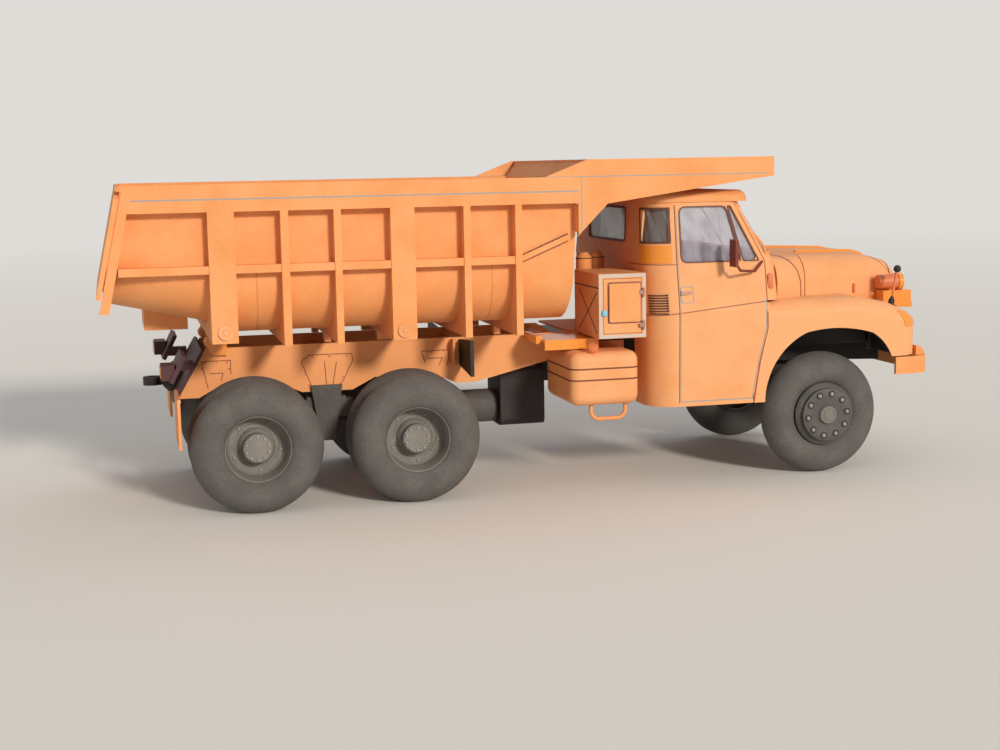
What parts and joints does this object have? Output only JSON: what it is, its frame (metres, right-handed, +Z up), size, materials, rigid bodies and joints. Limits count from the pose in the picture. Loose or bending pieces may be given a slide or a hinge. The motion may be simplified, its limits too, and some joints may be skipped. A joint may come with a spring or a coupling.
{
  "type": "card model of a dump truck",
  "caption": "Card model of a bonneted three-axle dump truck with a ribbed tipping body, a canopy over the cab, steering front wheels and a hinged tailgate.",
  "frame": {"origin": "on the surface the wheels stand on, under the middle of the model's length and width", "axes": "+X forward, +Y to the left side, +Z up"},
  "size_m": [0.2258, 0.087, 0.0883],
  "materials": {
    "body_card": "printed satin card, orange",
    "cab_card": "printed satin card, orange",
    "chassis_card": "printed matt card, near black",
    "tyre_card": "sanded card stack, dark grey",
    "rim_card": "printed satin card, dark grey",
    "frame_card": "printed satin card, orange",
    "beam_card": "printed glossy card, amber orange",
    "window_film": "thin clear film",
    "lamp_card": "printed card, silver grey and dark",
    "step_card": "painted wire loop",
    "seat_card": "printed matt card, dark grey"
  },
  "bodies": {
    "chassis": {"air_cleaners": "chassis_card", "axle_front": "chassis_card", "battery_box": "frame_card", "bonnet": "cab_card", "bumper": "cab_card", "cab_roof": "cab_card", "cab_shell": "cab_card", "cowl": "cab_card", "cross_members": "frame_card", "dashboard": "seat_card", "door_left": "cab_card", "door_right": "cab_card", "engine": "chassis_card", "frame_rails": "frame_card", "front_lamps": "lamp_card", "fuel_tank": "frame_card", "glass": "window_film", "grille": "cab_card", "hinge_brackets": "frame_card", "lamp_beam": "beam_card", "leaf_springs": "chassis_card", "locker": "cab_card", "mirrors": "cab_card", "mudflaps": "frame_card", "outriggers": "chassis_card", "prop_shafts": "chassis_card", "rear_axles": "chassis_card", "seats": "seat_card", "step_loop": "step_card", "step_plates": "step_card", "tail_plate": "chassis_card", "tow_hitch": "frame_card", "transfer_box": "chassis_card", "wings": "cab_card"},
    "bed": {"tub": "body_card", "body_rails": "body_card", "ribs": "body_card", "stiffeners": "body_card", "front_wall": "body_card", "canopy": "body_card", "runners": "body_card", "tail_box": "body_card"},
    "tailgate": {"tailgate": "body_card"},
    "knuckle_left": {"knuckle_left": "chassis_card"},
    "knuckle_right": {"knuckle_right": "chassis_card"},
    "wheel_front_left": {"tyre_front_left": "tyre_card", "rim_front_left": "rim_card"},
    "wheel_front_right": {"tyre_front_right": "tyre_card", "rim_front_right": "rim_card"},
    "wheel_middle_left": {"tyres_middle_left": "tyre_card", "rim_middle_left": "rim_card"},
    "wheel_middle_right": {"tyres_middle_right": "tyre_card", "rim_middle_right": "rim_card"},
    "wheel_rear_left": {"tyres_rear_left": "tyre_card", "rim_rear_left": "rim_card"},
    "wheel_rear_right": {"tyres_rear_right": "tyre_card", "rim_rear_right": "rim_card"}
  },
  "joints": [
    {"name": "front_left_spin", "type": "hinge", "parent": "knuckle_left", "child": "wheel_front_left", "pos_m": [0.08126, 0.0307, 0.01703], "axis": [0, 1, 0], "continuous": true},
    {"name": "front_right_spin", "type": "hinge", "parent": "knuckle_right", "child": "wheel_front_right", "pos_m": [0.08126, -0.0307, 0.01703], "axis": [0, 1, 0], "continuous": true},
    {"name": "middle_left_spin", "type": "hinge", "parent": "chassis", "child": "wheel_middle_left", "pos_m": [-0.03405, 0.0277, 0.01703], "axis": [0, 1, 0], "continuous": true},
    {"name": "middle_right_spin", "type": "hinge", "parent": "chassis", "child": "wheel_middle_right", "pos_m": [-0.03405, -0.0277, 0.01703], "axis": [0, 1, 0], "continuous": true},
    {"name": "rear_left_spin", "type": "hinge", "parent": "chassis", "child": "wheel_rear_left", "pos_m": [-0.0753, 0.0277, 0.01703], "axis": [0, 1, 0], "continuous": true},
    {"name": "rear_right_spin", "type": "hinge", "parent": "chassis", "child": "wheel_rear_right", "pos_m": [-0.0753, -0.0277, 0.01703], "axis": [0, 1, 0], "continuous": true},
    {"name": "steer_left", "type": "hinge", "parent": "chassis", "child": "knuckle_left", "pos_m": [0.08126, 0.0246, 0.01703], "axis": [0, 0, 1], "range_deg": [-25, 25]},
    {"name": "steer_right", "type": "hinge", "parent": "chassis", "child": "knuckle_right", "pos_m": [0.08126, -0.0246, 0.01703], "axis": [0, 0, 1], "range_deg": [-25, 25]},
    {"name": "bed_tip", "type": "hinge", "parent": "chassis", "child": "bed", "pos_m": [-0.0849, 0, 0.0424], "axis": [0, -1, 0], "range_deg": [0, 40]},
    {"name": "tailgate_swing", "type": "hinge", "parent": "bed", "child": "tailgate", "pos_m": [-0.1067, 0, 0.0832], "axis": [0, 1, 0], "range_deg": [0, 60]}
  ],
  "couplings": [
    {"joint": "steer_right", "follows": "steer_left", "ratio": 1}
  ]
}
